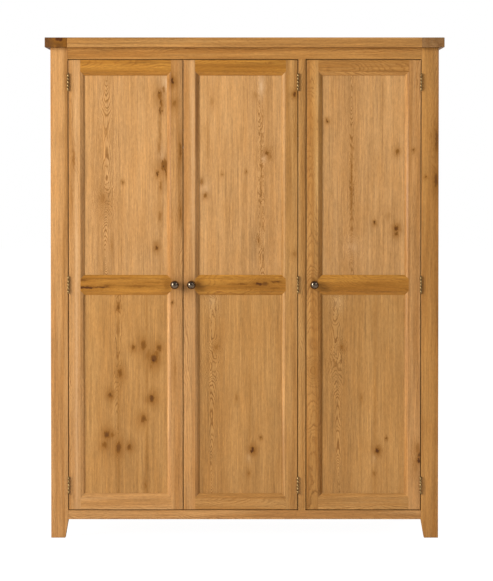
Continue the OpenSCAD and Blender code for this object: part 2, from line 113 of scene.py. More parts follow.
# %% Find the outer corners
SHARP = math.radians(60)
SHORTEST_CORNER = 15 * MM
LONG_EDGE = 60 * MM


def outer_corners(bm, long_edge):
    """Sharp edges on two sides of a board's box, and longer ones that lie on one side."""
    found = []
    for group in islands(bm):
        low = Vector(min(v.co[k] for v in group) for k in range(3))
        high = Vector(max(v.co[k] for v in group) for k in range(3))
        for edge in {e for v in group for e in v.link_edges}:
            if not edge.is_manifold or edge.calc_face_angle_signed() < SHARP:
                continue
            planes = shared_planes(edge, low, high)
            if (planes >= 2 and edge.calc_length() > SHORTEST_CORNER) or \
               (planes == 1 and edge.calc_length() > long_edge):
                found.append(edge)
    return sorted(found, key=lambda e: e.index)


post = merged("front_post_left")
print("edges of a front post:", len(post.edges), "to round:", len(outer_corners(post, LONG_EDGE)))
post.free()

# %% Round one board
SMOOTH = math.radians(32)
ANY_LENGTH = 10.0


def new_piece(name, mesh, node):
    """A visible piece that stands for one node of the frame and moves with its body."""
    piece = bpy.data.objects.new(name, mesh)
    bpy.context.scene.collection.objects.link(piece)
    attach(piece, BODIES[node])
    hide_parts(node)
    return piece


def eased(node, radius, long_edge=ANY_LENGTH):
    """A copy of a board with its outer corners rounded to a radius."""
    bm = merged(node)
    corners = outer_corners(bm, long_edge)
    bmesh.ops.bevel(bm, geom=corners, offset=radius, offset_type="OFFSET", segments=3,
                    profile=0.5, affect="EDGES", clamp_overlap=False)
    mesh = bpy.data.meshes.new(node + "_eased")
    bm.to_mesh(mesh)
    bm.free()
    mesh.shade_smooth()
    mesh.set_sharp_from_angle(angle=SMOOTH)
    return new_piece(node + "_board", mesh, node)


print("shaded smooth below, in degrees:", round(math.degrees(SMOOTH)))

# %% [markdown]
# ## Which boards there are
# Posts and the top board are handled most and are rounded most. The door frames keep crisper
# corners, because their moulded inner edge has to stay clean. On the posts an edge that lies on
# one side only, such as the taper of a foot, is rounded too if it is long enough.

# %% Round the boards
CARCASS_BOARDS = ("front_post_left", "front_post_right", "rear_post_left", "rear_post_right",
                  "frieze_rail", "bottom_rail", "mullion", "side_rails", "rear_rails")
TOP_BOARDS = ("top_board", "breadboard_end_left", "breadboard_end_right")
INNER_BOARDS = ("floor_panel", "partition", "shelf_left", "shelf_right", "shelf_cleats",
                "head_battens", "back_boards")
DOOR_FRAME = ("hinge_stile", "closing_stile", "top_rail", "middle_rail", "bottom_rail")

CARCASS_ROUND, TOP_ROUND, INNER_ROUND, FRAME_ROUND = 1.6 * MM, 1.8 * MM, 0.8 * MM, 1.1 * MM

boards = {}
for node in CARCASS_BOARDS:
    boards[node] = eased(node, CARCASS_ROUND, long_edge=LONG_EDGE)
for node in TOP_BOARDS:
    boards[node] = eased(node, TOP_ROUND)
for node in INNER_BOARDS:
    boards[node] = eased(node, INNER_ROUND)
for door in DOORS:
    for part in DOOR_FRAME:
        boards[door + "_" + part] = eased(door + "_" + part, FRAME_ROUND)
print("boards with rounded corners:", len(boards))

# %% [markdown]
# ## Oak, seen as a log
# Grain is not a pattern on the wood: it is where the saw crossed the growth rings. So the shader
# keeps a virtual log. Each board says where the log's heart lies from its face, and how much the
# log leans along the board. Near the heart line the cut is flat to the rings and gives the tall
# arches called cathedrals; away from it the rings close up into straight lines.
# The board's own axes are a (across its face), b (into the wood) and g (along the grain).

# %% Shader helpers: nodes and sums
def add_node(tree, kind, inputs=None, **settings):
    """A shader node with its settings and inputs; an input may be a value or another socket."""
    node = tree.nodes.new(kind)
    for key, value in settings.items():
        setattr(node, key, value)
    for key, value in (inputs or {}).items():
        if isinstance(value, bpy.types.NodeSocket):
            tree.links.new(value, node.inputs[key])
        else:
            node.inputs[key].default_value = value
    return node


def maths(tree, operation, *values, clamp=False):
    """One maths step, and its result."""
    node = add_node(tree, "ShaderNodeMath", dict(enumerate(values)), operation=operation)
    node.use_clamp = clamp
    return node.outputs[0]


def plus(tree, total, *others):
    """Values added one after another."""
    for value in others:
        total = maths(tree, "ADD", total, value)
    return total


def minus(tree, first, second):
    """One value less another."""
    return maths(tree, "SUBTRACT", first, second)


def times(tree, total, *others):
    """Values multiplied one after another."""
    for value in others:
        total = maths(tree, "MULTIPLY", total, value)
    return total


def parts(tree, vector):
    """The three numbers of a vector."""
    return add_node(tree, "ShaderNodeSeparateXYZ", {0: vector}).outputs


print("sums ready: plus, minus, times")

# %% Shader helpers: noise, ramps and blends
def scaled(tree, place, scale, offset=None):
    """A vector stretched along its axes, then shifted."""
    settings = {0: place, 1: scale}
    if offset is None:
        return add_node(tree, "ShaderNodeVectorMath", settings, operation="MULTIPLY").outputs[0]
    settings[2] = offset
    return add_node(tree, "ShaderNodeVectorMath", settings, operation="MULTIPLY_ADD").outputs[0]


def noise(tree, place, scale=1.0, detail=2.0, rough=0.5, output="Fac"):
    """Soft noise between 0 and 1, or three of them as a colour."""
    return add_node(tree, "ShaderNodeTexNoise",
                    {"Vector": place, "Scale": scale, "Detail": detail, "Roughness": rough}).outputs[output]


def ramp(tree, value, low, high, out_low=0.0, out_high=1.0, smooth=True):
    """Maps low..high to out_low..out_high, held at the ends."""
    node = add_node(tree, "ShaderNodeMapRange",
                    {"Value": value, "From Min": low, "From Max": high,
                     "To Min": out_low, "To Max": out_high})
    node.interpolation_type = "SMOOTHSTEP" if smooth else "LINEAR"
    return node.outputs["Result"]


def blend(tree, factor, first, second, mode="MIX"):
    """Two colours mixed by a factor."""
    node = add_node(tree, "ShaderNodeMix", data_type="RGBA", blend_type=mode)
    for key, value in ((0, factor), (6, first), (7, second)):
        if isinstance(value, bpy.types.NodeSocket):
            tree.links.new(value, node.inputs[key])
        else:
            node.inputs[key].default_value = value
    return node.outputs[2]


print("patterns ready: scaled, noise, ramp, blend")

# %% Shader helpers: groups
def new_group(name, inputs, outputs):
    """An empty node group with its sockets: (name, kind, default)."""
    tree = bpy.data.node_groups.new(name, "ShaderNodeTree")
    for label, kind, default in inputs:
        socket = tree.interface.new_socket(label, in_out="INPUT", socket_type="NodeSocket" + kind)
        socket.default_value = default
    for label, kind in outputs:
        tree.interface.new_socket(label, in_out="OUTPUT", socket_type="NodeSocket" + kind)
    return tree, tree.nodes.new("NodeGroupInput").outputs, tree.nodes.new("NodeGroupOutput")


print("groups ready: new_group")

# %% [markdown]
# ## A knot
# A knot is where a branch left the trunk. The rings flow round it, its heart is dark and ragged, and
# a brown stain runs up and down the grain from it. One small group does this for one knot, and
# passes on what it was given, so a board chains as many knots as it has. A knot with a darkness
# below zero is the opposite: a pale streak of sapwood.

# The wide, soft knots at the knobs' height are painted shadows of the knobs, and two long pale streaks on
# door stiles are painted highlights.
# %% The knot group
ROUND_KNOT = 1.3      # a knot is a little longer along the grain than across it


def make_knot_group():
    tree, given, result = new_group(
        "knot",
        [("Place", "Vector", (0, 0, 0)), ("Centre", "Vector", (0, 0, 0)), ("Size", "Float", 0.006),
         ("Stretch", "Float", ROUND_KNOT), ("Dark", "Float", 1.0), ("Push", "Float", 2.0),
         ("Rings", "Float", 0.0), ("Stain", "Float", 0.0), ("Sap", "Float", 0.0)],
        [("Rings", "Float"), ("Stain", "Float"), ("Sap", "Float")])
    apart = parts(tree, add_node(tree, "ShaderNodeVectorMath", {0: given["Place"], 1: given["Centre"]},
                                 operation="SUBTRACT").outputs[0])
    across = maths(tree, "DIVIDE", apart["X"], given["Size"])
    along = maths(tree, "DIVIDE", maths(tree, "DIVIDE", apart["Z"], given["Size"]), given["Stretch"])
    across, along = times(tree, across, across), times(tree, along, along)
    reach = plus(tree, across, along)

    def hill(value, rate, height):
        """A soft hill: height at zero, falling as value grows."""
        return times(tree, maths(tree, "EXPONENT", times(tree, value, -rate)), height)

    heart = ramp(tree, reach, 2.6, 0.0)
    halo = hill(reach, 0.16, 0.66)
    tail = hill(plus(tree, across, times(tree, along, 0.12)), 0.7, 0.42)
    shape = maths(tree, "MAXIMUM", maths(tree, "MAXIMUM", heart, halo), tail)
    dark = times(tree, shape, given["Dark"])
    results = {"Rings": plus(tree, given["Rings"], times(tree, hill(reach, 0.14, 1.0), given["Push"])),
               "Stain": maths(tree, "MAXIMUM", given["Stain"], dark),
               "Sap": maths(tree, "MAXIMUM", given["Sap"], times(tree, dark, -1.0))}
    for label, socket in results.items():
        tree.links.new(socket, result.inputs[label])
    return tree


KNOT = make_knot_group()
print("nodes in the knot group:", len(KNOT.nodes))

# %% [markdown]
# ## The oak itself
# From large to small: the log wanders a little along its length; each year's ring starts with a
# thin band of open pores, dark under the lacquer, and ends in dense paler wood; fibres run in fine
# streaks; and the pores are short dark dashes that also dent the surface.

# %% Oak: the staves of a glued-up board
SEED_STEP, STAVE_STEP = 3.7, 5.3      # how far apart two boards and two staves lie in the noise


def glued_staves(tree, given, split):
    """Each stave comes from another part of the log: how far it is shifted, and its own noise."""
    stave = maths(tree, "FLOOR", plus(tree, maths(tree, "DIVIDE", split["X"], given["Stave"]), 0.5))
    pick = add_node(tree, "ShaderNodeTexWhiteNoise", {"W": plus(tree, stave, given["Seed"])},
                    noise_dimensions="1D").outputs["Value"]
    many = maths(tree, "LESS_THAN", given["Stave"], 1.0)
    shift = times(tree, minus(tree, pick, 0.5), many)
    seed = add_node(tree, "ShaderNodeCombineXYZ",
                    {0: times(tree, given["Seed"], SEED_STEP), 1: times(tree, stave, STAVE_STEP),
                     2: given["Seed"]}).outputs[0]
    return shift, seed


print("boards and staves lie this far apart in the noise:", SEED_STEP, STAVE_STEP)

# %% Oak: where the saw crossed the log
STAVE_SHIFT = (0.10, 0.05)      # how far staves are shifted across and into the log, in metres
WANDER = (0.045, 0.050)         # how far the log wanders across and into the board
RIPPLE = 0.0075                 # how far the rings ripple


def cut_from_log(tree, given, split, shift, seed):
    """How far each point is from the log's heart: across the board, and in all."""
    place = given["Place"]
    sway = parts(tree, noise(tree, scaled(tree, place, (2.0, 2.0, 2.4), seed), detail=3.0,
                             output="Color"))
    heart = parts(tree, given["Heart"])

    def swayed(out, axis, side):
        """A distance after the stave's shift and the log's wander."""
        return plus(tree, out, times(tree, shift, STAVE_SHIFT[side]),
                    times(tree, minus(tree, sway[axis], 0.5), WANDER[side]))

    across = swayed(minus(tree, split["X"], heart["X"]), "X", 0)
    along = minus(tree, split["Z"], heart["Z"])
    lean = times(tree, along, given["Lean"])
    bow = times(tree, along, along, given["Bow"])
    into = swayed(minus(tree, plus(tree, heart["Y"], lean, bow), split["Y"]), "Y", 1)
    ripple = noise(tree, scaled(tree, place, (34, 34, 9), seed), detail=4.0, rough=0.6)
    radius = maths(tree, "SQRT", plus(tree, times(tree, across, across), times(tree, into, into)))
    return across, plus(tree, radius, times(tree, ripple, RIPPLE))


print("the log wanders this far, in millimetres:", [round(w / MM) for w in WANDER])

# %% Oak: years of growth
GOOD_YEARS = 2.6                      # how many rings fast and slow years may move a ring
EARLY_ENDS, EARLY_STARTS = 0.45, 0.86


def growth_rings(tree, given, radius, seed):
    """The porous early wood of each year, and each year's own tone."""
    outward = add_node(tree, "ShaderNodeCombineXYZ", {0: radius}).outputs[0]
    pace = noise(tree, scaled(tree, outward, (90, 0, 0), seed), detail=1.0)
    years = plus(tree, maths(tree, "DIVIDE", radius, given["Ring"]), times(tree, pace, GOOD_YEARS),
                 given["Rings"])
    part = maths(tree, "FRACT", years)
    early = maths(tree, "ADD", ramp(tree, part, 0.0, EARLY_ENDS, 1.0, 0.0),
                  ramp(tree, part, EARLY_STARTS, 1.0), clamp=True)
    year_tone = add_node(tree, "ShaderNodeTexWhiteNoise", {"W": maths(tree, "FLOOR", years)},
                         noise_dimensions="1D").outputs["Value"]
    return early, year_tone


print("early wood fills this part of a year:", round(EARLY_ENDS + 1 - EARLY_STARTS, 2))

# %% Oak: fibres, streaks and pores
GRAIN = {      # waves per metre across, into and along the board; detail; roughness
    "fibre": ((290, 290, 9), 3.0, 0.65), "streak": ((95, 95, 3.2), 3.0, 0.6),
    "cloud": ((15, 15, 5.5), 4.0, 0.62), "band": ((40, 40, 1.1), 2.0, 0.5),
    "broad": ((4.5, 4.5, 1.4), 2.0, 0.5), "fleck": ((210, 210, 62), 2.0, 0.6),
    "dashes": ((1250, 1250, 75), 1.0, 0.5),
}


def fine_grain(tree, place, seed):
    """All the noises of the grain, each stretched along the board."""
    return {name: noise(tree, scaled(tree, place, waves, seed), detail=detail, rough=rough)
            for name, (waves, detail, rough) in GRAIN.items()}


def open_pores(tree, dashes, early):
    """Short dashes, most of them in the early wood."""
    return times(tree, ramp(tree, dashes, 0.56, 0.70), plus(tree, times(tree, early, 0.75), 0.25))


print("layers of grain:", ", ".join(GRAIN))

# %% Oak: colour of clear wood
PALE = (0.530, 0.272, 0.088, 1)
DEEP = (0.255, 0.104, 0.022, 1)
AMBER = (0.430, 0.185, 0.040, 1)
LIGHTER = {"streak": 0.13, "broad": 0.07, "fleck": 0.10}      # how much each layer lightens or darkens


def clear_wood(tree, given, grain, early, year_tone, across, shift):
    """Rings, clouds of amber and light fibres, before any knot or stain."""
    figure = times(tree, early, plus(tree, times(tree, year_tone, 0.60), 0.30))
    flat_cut = ramp(tree, maths(tree, "ABSOLUTE", across), 0.030, 0.085, 1.0, 0.38)
    figure = maths(tree, "MULTIPLY", times(tree, figure, flat_cut), given["Figure"], clamp=True)
    wood = blend(tree, figure, PALE, DEEP)
    wood = blend(tree, times(tree, ramp(tree, grain["cloud"], 0.36, 0.70), 0.32), wood, AMBER)
    wood = blend(tree, times(tree, ramp(tree, grain["band"], 0.42, 0.62), given["Stripe"]), wood, AMBER)
    light = ramp(tree, grain["fibre"], 0.25, 0.75, 0.80, 1.20, smooth=False)
    for layer, much in LIGHTER.items():
        light = plus(tree, light, ramp(tree, grain[layer], 0.3, 0.7, -much, much, smooth=False))
    stripes = times(tree, minus(tree, 0.5, grain["band"]), given["Stripe"], 0.9)
    light = plus(tree, light, stripes, times(tree, shift, 0.16))
    grey = add_node(tree, "ShaderNodeCombineColor", {0: light, 1: light, 2: light}).outputs[0]
    return blend(tree, 1.0, wood, grey, "MULTIPLY")


print("layers that lighten the wood:", ", ".join(LIGHTER))

# %% Oak: pores, sapwood, tone and stains
SAPWOOD_AND_HIGHLIGHT = (0.700, 0.430, 0.200, 1)
PORE_BROWN = (0.180, 0.070, 0.015, 1)
STAIN_AND_SHADOW_BROWN = (0.218, 0.080, 0.006, 1)
KNOT_BROWN = (0.070, 0.018, 0.001, 1)


def toned(tree, given, wood, pores, streak):
    """The board's own tone, with pores and sapwood under it and stains and knots over it."""
    wood = blend(tree, times(tree, pores, 0.50), wood, PORE_BROWN)
    # Two long pale streaks on door stiles come in here as sapwood but are painted highlights on lit moulded
    # edges.
    wood = blend(tree, times(tree, given["Sap"], ramp(tree, streak, 0.2, 0.6, 0.35, 1.0)), wood, SAPWOOD_AND_HIGHLIGHT)
    wood = blend(tree, 1.0, wood, given["Tone"], "MULTIPLY")
    # The stain also carries the painted shadows beside the knobs.
    stain = ramp(tree, given["Stain"], 0.0, 0.60, smooth=False)
    wood = blend(tree, times(tree, stain, 0.93), wood, STAIN_AND_SHADOW_BROWN)
    return blend(tree, ramp(tree, given["Stain"], 0.50, 1.0), wood, KNOT_BROWN)


print("knot brown and stain brown:", KNOT_BROWN[:3], STAIN_AND_SHADOW_BROWN[:3])

# %% Oak: the whole group
def make_oak_group():
    tree, given, result = new_group(
        "oak",
        [("Place", "Vector", (0, 0, 0)), ("Heart", "Vector", (0, 0.04, 0)), ("Lean", "Float", 0.03),
         ("Bow", "Float", 0.0), ("Ring", "Float", 0.0022), ("Seed", "Float", 0.0),
         ("Stave", "Float", 4.0), ("Figure", "Float", 1.0), ("Stripe", "Float", 0.25),
         ("Tone", "Color", (1, 1, 1, 1)),
         ("Rings", "Float", 0.0), ("Stain", "Float", 0.0), ("Sap", "Float", 0.0)],
        [("Color", "Color"), ("Roughness", "Float"), ("Height", "Float")])
    split = parts(tree, given["Place"])
    shift, seed = glued_staves(tree, given, split)
    across, radius = cut_from_log(tree, given, split, shift, seed)
    early, year_tone = growth_rings(tree, given, radius, seed)
    grain = fine_grain(tree, given["Place"], seed)
    pores = open_pores(tree, grain["dashes"], early)
    wood = clear_wood(tree, given, grain, early, year_tone, across, shift)
    wood = toned(tree, given, wood, pores, grain["streak"])
    shine = plus(tree, ramp(tree, grain["fibre"], 0.2, 0.8, 0.40, 0.50, smooth=False),
                 times(tree, pores, 0.16))
    height = minus(tree, times(tree, grain["fibre"], 0.22), plus(tree, pores, times(tree, early, 0.25)))
    for label, socket in (("Color", wood), ("Roughness", shine), ("Height", height)):
        tree.links.new(socket, result.inputs[label])
    return tree


OAK = make_oak_group()
print("nodes in the oak group:", len(OAK.nodes))

# %% [markdown]
# ## One finish per board
# Every board gets its own cut of the log, its own tone and its own knots. The board's axes are
# picked from the wardrobe's: a door stile runs up, a rail runs across, the top's ends run back.

# %% Fill in a group and give out finishes
def fill(node, values):
    """Sets a group's inputs from sockets or plain values."""
    for key, value in values.items():
        if isinstance(value, bpy.types.NodeSocket):
            node.id_data.links.new(value, node.inputs[key])
        else:
            node.inputs[key].default_value = value


def finish_piece(piece, material):
    """Gives a piece its only finish."""
    piece.data.materials.clear()
    piece.data.materials.append(material)


print("ready: fill, finish_piece")

# %% Add up a board's knots
RAGGED = (0.0085, 0.017)      # how ragged a knot is, across and along the grain, in metres


def knotted(tree, place, knots, end_grain):
    """The rings, stain and sapwood that a board's knots add up to."""
    rough = noise(tree, scaled(tree, place, (110, 110, 55)), detail=4.0, rough=0.65, output="Color")
    ragged = scaled(tree, rough, (2 * RAGGED[0], 0, 2 * RAGGED[1]), place)
    if end_grain:
        turn = parts(tree, ragged)
        ragged = add_node(tree, "ShaderNodeCombineXYZ", {0: turn["X"], 2: turn["Y"]}).outputs[0]
    flat = scaled(tree, ragged, (1, 0, 1))
    offset = 0 if end_grain else RAGGED[1]
    passed = {"Rings": 0.0, "Stain": 0.0, "Sap": 0.0}
    for across, along, size, dark, push, *stretch in knots:
        knot = add_node(tree, "ShaderNodeGroup", node_tree=KNOT)
        fill(knot, {"Place": flat, "Centre": (across * MM + RAGGED[0], 0, along * MM + offset),
                    "Size": size * MM, "Stretch": stretch[0] if stretch else ROUND_KNOT,
                    "Dark": dark, "Push": push, **passed})
        passed = {key: knot.outputs[key] for key in passed}
    return passed


print("knots are ragged by, in millimetres:", [round(r / MM, 1) for r in RAGGED])

# %% A finish cut from the log
GRAIN_AXES = {"up": ("X", "Y", "Z"), "across": ("Z", "Y", "X"), "back": ("X", "Z", "Y"),
              "up_side": ("Y", "X", "Z"), "flat": ("Y", "Z", "X")}
LACQUER_GLOSS = 0.22          # a thin oil lacquer hardly mirrors anything
PORE_DEPTH = 0.12 * MM


def oak_finish(name, grain, heart=(0, 60), lean=0.03, bow=(0, 0), ring=2.2, seed=0.0, stave=4.0,
               figure=1.0, stripe=0.22, tone=(1, 1, 1), knots=(), end_grain=False):
    """An oak material. Lengths are in millimetres, in the board's axes, but a stave is in metres.

    heart is where the log's middle lies: across the board, and how deep into it (less than zero is in
    front of it). bow is the place along the board where the log is straight, and how much it curves.
    """
    material = bpy.data.materials.new(name)
    material.use_nodes = True
    tree = material.node_tree
    tree.nodes.clear()
    spot = parts(tree, add_node(tree, "ShaderNodeTexCoord").outputs["Object"])
    order = GRAIN_AXES[grain]
    place = add_node(tree, "ShaderNodeCombineXYZ",
                     {k: spot[axis] for k, axis in enumerate(order)}).outputs[0]
    oak = add_node(tree, "ShaderNodeGroup", node_tree=OAK)
    fill(oak, {"Place": place, "Heart": (heart[0] * MM, heart[1] * MM, bow[0] * MM), "Lean": lean,
               "Bow": bow[1], "Ring": ring * MM, "Seed": seed, "Stave": stave, "Figure": figure,
               "Stripe": stripe, "Tone": (*tone, 1)})
    if knots:
        fill(oak, knotted(tree, place, knots, end_grain))
    bump = add_node(tree, "ShaderNodeBump", {"Height": oak.outputs["Height"], "Strength": 0.35,
                                             "Distance": PORE_DEPTH})
    shader = add_node(tree, "ShaderNodeBsdfPrincipled",
                      {"Base Color": oak.outputs["Color"], "Roughness": oak.outputs["Roughness"],
                       "Specular IOR Level": LACQUER_GLOSS, "Normal": bump.outputs[0]})
    out = add_node(tree, "ShaderNodeOutputMaterial")
    tree.links.new(shader.outputs[0], out.inputs[0])
    return material


print("ways the grain can run:", ", ".join(GRAIN_AXES))

# %% [markdown]
# ## Tones of the boards
# No two oak boards have quite the same colour. The tones here are partly that and partly painted light
# and shade: the upper panels are palest, the lower ones honey coloured and darker, the rails golden and
# darker, and the right front post and right door's closing stile darker than their twins on the left. Eight
# tones are mixed in steps of five hundredths, and every board is given one of them. Each is a tint that the
# clear wood is multiplied by.

# %% Tones of the boards
# Each tone is partly the board's own colour and partly painted light and shade.
CLEAR = (1.00, 1.00, 0.95)       # boards inside and behind
CREAM = (0.95, 1.00, 1.15)       # pale and cool
STRAW = (0.85, 0.85, 0.90)
HONEY = (0.80, 0.80, 0.75)
RUSSET = (0.75, 0.70, 0.55)
GOLDEN = (0.75, 0.65, 0.30)
SMOKED = (0.45, 0.45, 0.50)
BURNT = (0.20, 0.15, 0.05)
TONES = (CLEAR, CREAM, STRAW, HONEY, RUSSET, GOLDEN, SMOKED, BURNT)
print("board tones:", len(TONES))

# %% [markdown]
# ## Cutting list: the door panels
# The six panels are what the eye reads first, so their hearts and knots are placed one by one.
# A knot is (across, along, size, darkness, how many rings it pushes aside), in millimetres.
# A pale knot with a strong push is not a dark spot but a swirl or the tip of an arch.

# %% Panels
PANEL_CUTS = {
    "left_door_upper_panel": dict(
        heart=(-521, -272 + 44), lean=0.0, bow=(1450, -0.22), seed=1.0, tone=CREAM, figure=2.0,
        knots=((-319, 1670, 9, 0.60, 2, 2.4), (-321, 1679, 3.2, 0.86, 0, 1.6),
               (-317, 1646, 2.8, 0.82, 0, 3.0),
               (-318, 1612, 3.0, 0.84, 1, 4.0), (-311, 1612, 2.4, 0.72, 0, 2.0),
               (-312, 1636, 4, 0.60, 1, 4.0),
               (-302, 1406, 14, 0.68, 3, 1.6), (-306, 1402, 4.2, 0.90, 0, 1.5),
               (-299, 1388, 3.4, 0.86, 0, 1.8),
               (-309, 1420, 3.0, 0.8, 0, 2.4), (-311, 1440, 7, -0.55, 2, 2.0),
               (-294, 1374, 5, 0.62, 1, 2.5),
               (-328, 1375, 4.0, 0.85, 1, 2.0),
               (-316, 1330, 3.5, 0.55, 1, 5.0), (-322, 1470, 4, 0.5, 1, 5.0), (-319, 1215, 5, 0.5, 2, 3.5),
               (-331, 1096, 6, 0.85, 2, 1.6), (-459, 1342, 3.5, 0.7, 0), (-530, 1280, 15, 0.34, 5, 1.2),
               (-299, 1712, 8, -0.8, 2, 2.2), (-306, 1690, 4, 0.55, 1, 3.0), (-319, 1450, 3, 0.40, 0, 45),
               (-500, 1105, 3, 0.4, 1, 4))),
    "left_door_lower_panel": dict(
        heart=(-476, -272 + 30), lean=0.035, bow=(600, -0.05), seed=2.0, tone=HONEY,
        figure=1.1,
        knots=((-476, 870, 4.5, 0.75, 1, 2.2), (-419, 719, 6.5, 0.72, 2), (-381, 728, 10, 0.70, 3, 1.9),
               (-322, 716, 9, 0.75, 3), (-341, 676, 14, 0.80, 4), (-345, 670, 4.5, 1.0, 0),
               (-362, 690, 13, 0.50, 2, 1.8), (-330, 695, 7, 0.60, 1, 1.6), (-352, 648, 6, 0.50, 1, 2.0),
               (-470, 623, 9, 0.72, 3, 1.6), (-506, 539, 8, 0.8, 2), (-350, 527, 10.5, 0.82, 3),
               (-366, 522, 10, 0.45, 1, 1.6), (-381, 449, 9.5, 0.75, 2, 1.6), (-520, 390, 10.5, 0.82, 3),
               (-498, 390, 8, 0.6, 1), (-529, 350, 9, 0.66, 2), (-476, 340, 10.5, 0.78, 3, 1.9),
               (-435, 343, 7.5, 0.75, 2), (-374, 196, 4.5, 0.55, 1, 3), (-476, 520, 2.9, 0.30, 0, 170),
               (-369, 560, 3.2, 0.30, 0, 150))),
    "middle_door_upper_panel": dict(
        heart=(63, -272 + 26), lean=0.0, bow=(1330, -0.10), seed=3.0, tone=CREAM, figure=1.9,
        knots=((62, 1703, 4.5, -0.9, 1, 4), (41, 1668, 6, 0.32, 1, 1.5), (84, 1450, 8, 0.72, 4, 1.2),
               (72, 1432, 5, -0.6, 1, 1.5), (96, 1437, 5, 0.45, 1), (-85, 1373, 3, 0.5, 0),
               (6, 1381, 3, 0.6, 0), (-138, 1500, 4, 0.22, 3, 24), (-151, 1317, 10, -0.45, 4, 1.7),
               (-162, 1345, 5, 0.55, 1, 1.6), (-148, 1292, 6, 0.62, 2), (-122, 1643, 6, 0.30, 2, 2),
               (53, 1122, 4, 0.55, 3, 2), (62, 1390, 3, 0.30, 2, 60))),
    "middle_door_lower_panel": dict(
        heart=(-121, -272 + 38), lean=0.0, bow=(640, -0.16), seed=4.0, tone=HONEY, figure=1.9,
        knots=((-121, 892, 12, -0.4, 5, 1.4), (-106, 719, 7, 0.48, 4), (-133, 651, 14, 0.12, 5, 1.6),
               (-31, 529, 3, 0.45, 1, 3), (29, 331, 7.5, 0.95, 5), (60, 377, 3, 0.75, 1),
               (17, 303, 5, -0.5, 1, 2), (17, 242, 4, 0.5, 3, 1.8), (20, 500, 2.5, 0.22, 0, 90))),
    "right_door_upper_panel": dict(
        heart=(403, -272 + 24), lean=0.0, bow=(1290, -0.12), seed=5.0, tone=CREAM, figure=1.7,
        knots=((311, 1571, 4, 0.85, 1), (575, 1458, 6.5, 0.62, 3, 1.3), (572, 1169, 8, 0.85, 4, 1.3),
               (571, 1146, 6, 0.75, 2), (490, 1189, 4, 0.85, 1), (405, 1097, 12, -0.30, 6, 1.3),
               (402, 1310, 2.5, 0.55, 1, 46), (540, 1215, 13, 0.25, 1, 1.3))),
    "right_door_lower_panel": dict(
        heart=(351, -272 + 38), lean=0.0, bow=(640, -0.16), seed=4.4, tone=HONEY, figure=1.8,
        knots=((351, 892, 12, -0.4, 5, 1.4), (366, 719, 7, 0.45, 4), (339, 651, 14, 0.12, 5, 1.6),
               (441, 529, 3, 0.45, 1, 3), (501, 329, 7.5, 0.92, 5), (535, 375, 3, 0.75, 1),
               (489, 303, 5, -0.5, 1, 2), (489, 242, 4, 0.5, 3, 1.8), (492, 500, 2.5, 0.22, 0, 90))),
}
for node, cut in PANEL_CUTS.items():
    finish_piece(NODES[node], oak_finish(node + "_oak", "up", **cut))
print("panels finished:", len(PANEL_CUTS))

# %% [markdown]
# ## Cutting list: door frames and carcass
# Stiles and posts are cut further from the heart, so their grain is nearly straight. The middle
# rails have the strongest streaks. Beside each knob a painted shadow darkens the wood:
# that is a wide, soft knot at the knob's height.

# %% Door frames
STRIPED = 0.6      # solid boards show more stripes than the glued-up panels

